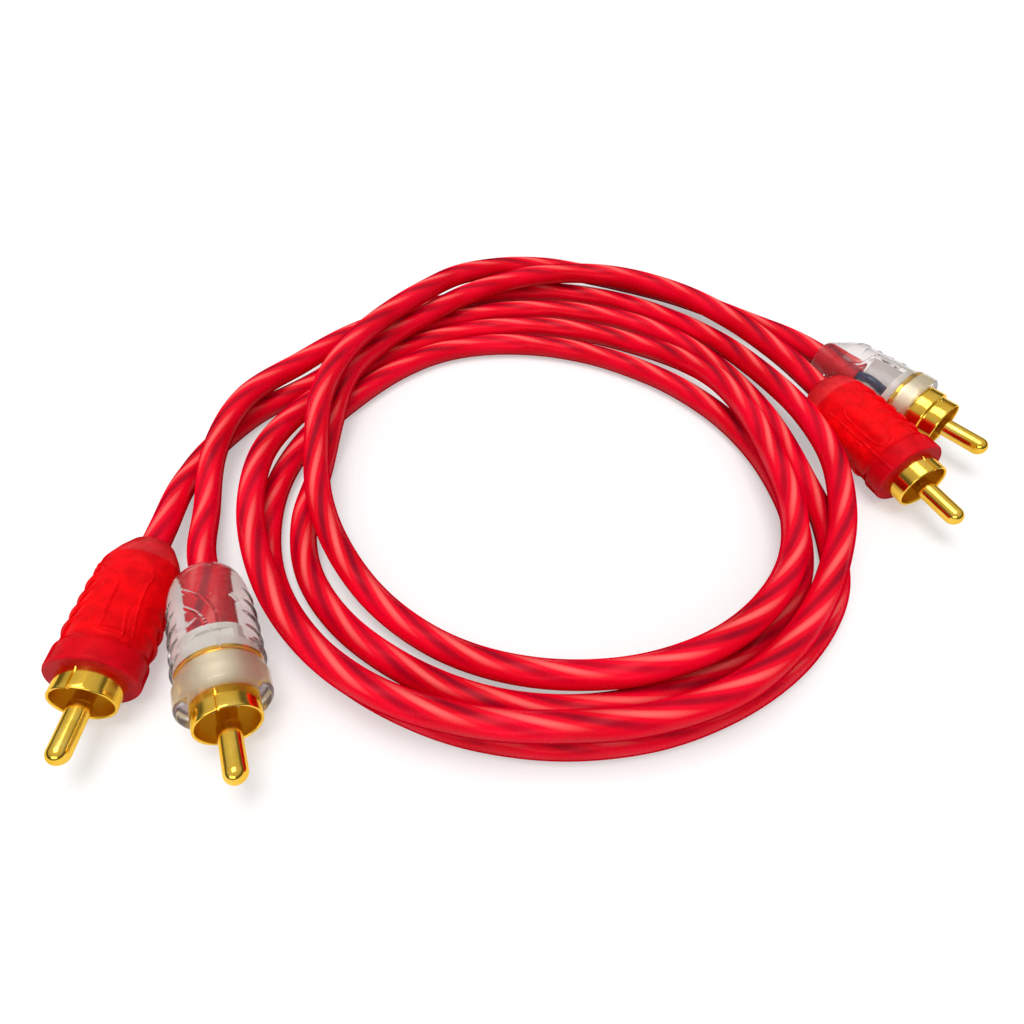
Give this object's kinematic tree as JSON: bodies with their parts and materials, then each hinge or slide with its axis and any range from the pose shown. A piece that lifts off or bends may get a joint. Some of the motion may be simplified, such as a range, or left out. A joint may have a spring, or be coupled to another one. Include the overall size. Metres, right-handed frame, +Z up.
{
  "type": "coiled phono lead",
  "caption": "Two-channel audio lead wound in a flat ring: translucent red round cables with twisted cores, moulded plugs in red and clear, gold pins and sleeves.",
  "frame": {"origin": "on the floor, under the centre of the whole lead's box", "axes": "+X across the pair of plug ends, from the left plugs to the right plugs; +Y from the plugs' pins towards the back of the coil; +Z up, through the coil"},
  "size_m": [0.1523, 0.1282, 0.0146],
  "materials": {
    "jacket": "glossy translucent",
    "grip_red": "satin translucent",
    "grip_clear": "clear plastic with a soft haze",
    "gold": "bright gold plate",
    "insulator": "matte cream",
    "mould": "matte",
    "signal_wire": "glossy",
    "screen_wire": "tinned strands"
  },
  "bodies": {
    "root": {"left_red_grip": "grip_red", "left_red_pin": "gold", "left_red_insulator": "insulator", "left_red_sleeve": "gold", "left_red_mould": "mould", "left_red_signal_wire": "signal_wire", "left_red_screen_wire": "screen_wire", "left_clear_grip": "grip_clear", "left_clear_pin": "gold", "left_clear_insulator": "insulator", "left_clear_sleeve": "gold", "left_clear_mould": "mould", "left_clear_signal_wire": "signal_wire", "left_clear_screen_wire": "screen_wire", "right_clear_grip": "grip_clear", "right_clear_pin": "gold", "right_clear_insulator": "insulator", "right_clear_sleeve": "gold", "right_clear_mould": "mould", "right_clear_signal_wire": "signal_wire", "right_clear_screen_wire": "screen_wire", "right_red_grip": "grip_red", "right_red_pin": "gold", "right_red_insulator": "insulator", "right_red_sleeve": "gold", "right_red_mould": "mould", "right_red_signal_wire": "signal_wire", "right_red_screen_wire": "screen_wire", "red_cable_left_run": "jacket", "red_cable_coil": "jacket", "red_cable_right_run": "jacket", "clear_cable_left_run": "jacket", "clear_cable_coil": "jacket", "clear_cable_right_run": "jacket"}
  },
  "joints": []
}
